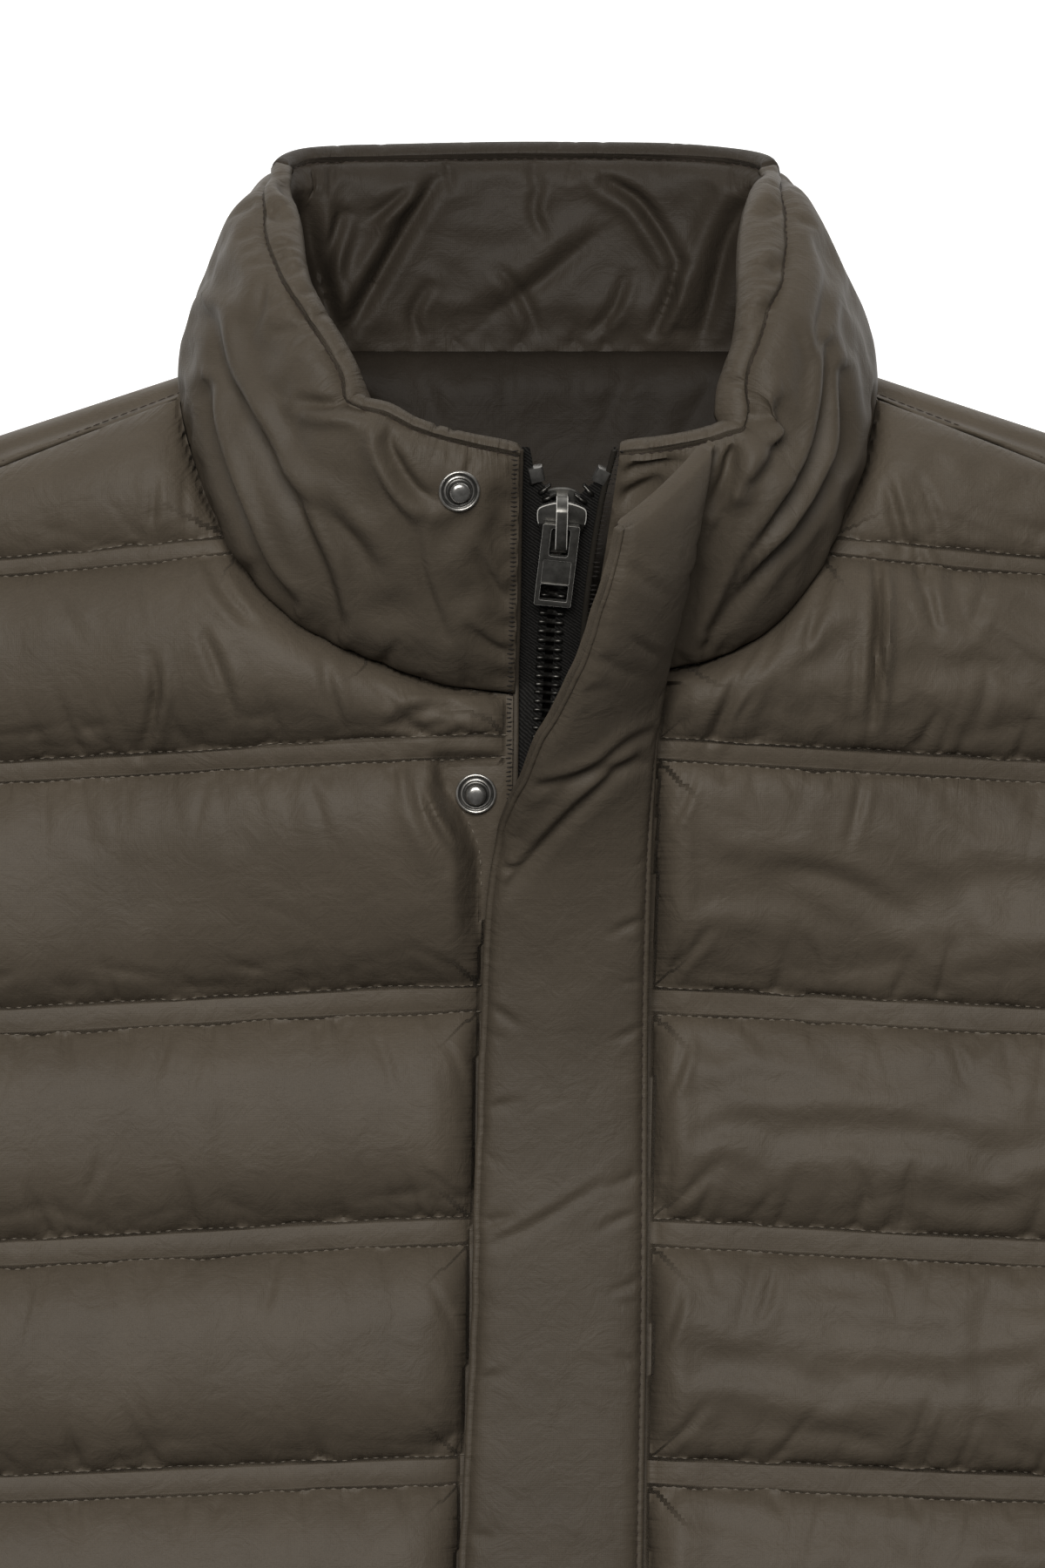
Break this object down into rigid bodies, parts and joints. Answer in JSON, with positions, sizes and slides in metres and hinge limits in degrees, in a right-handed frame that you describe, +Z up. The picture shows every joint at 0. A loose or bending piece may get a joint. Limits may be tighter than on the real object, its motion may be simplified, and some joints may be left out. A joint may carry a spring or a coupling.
{
  "type": "padded jacket",
  "caption": "Quilted padded jacket with a stand collar, laid flat on its back with sleeves spread, zip closed under a storm flap whose top stands open.",
  "frame": {"origin": "centre of the jacket's outline at the height of the surface it lies on", "axes": "+Z up from the surface, +Y towards the collar, +X towards the wearer's left sleeve"},
  "size_m": [1.0856, 0.7698, 0.1265],
  "materials": {
    "shell": "satin brown plain-weave nylon shell over padding",
    "lining": "plain dark brown nylon lining",
    "zip_tape": "woven charcoal tape with dark metal teeth",
    "gunmetal": "polished gunmetal plating"
  },
  "bodies": {
    "jacket": {"back": "shell", "front_right": "shell", "front_left": "shell", "sleeve_right_upper": "shell", "sleeve_right_under": "shell", "sleeve_left_upper": "shell", "sleeve_left_under": "shell", "collar_outer": "shell", "storm_flap": "shell", "collar_inner": "lining", "lining_back": "lining", "zip_tape_right": "zip_tape", "zip_tape_left": "zip_tape", "zip_slider": "gunmetal", "stud_collar": "gunmetal", "stud_front": "gunmetal"},
    "pull": {"zip_pull": "gunmetal"}
  },
  "joints": [
    {"name": "pull_swing", "type": "hinge", "parent": "jacket", "child": "pull", "pos_m": [0.01027, 0.27078, 0.08255], "axis": [-0.9996, 0.0248, 0.0128], "range_deg": [0, 150]}
  ]
}
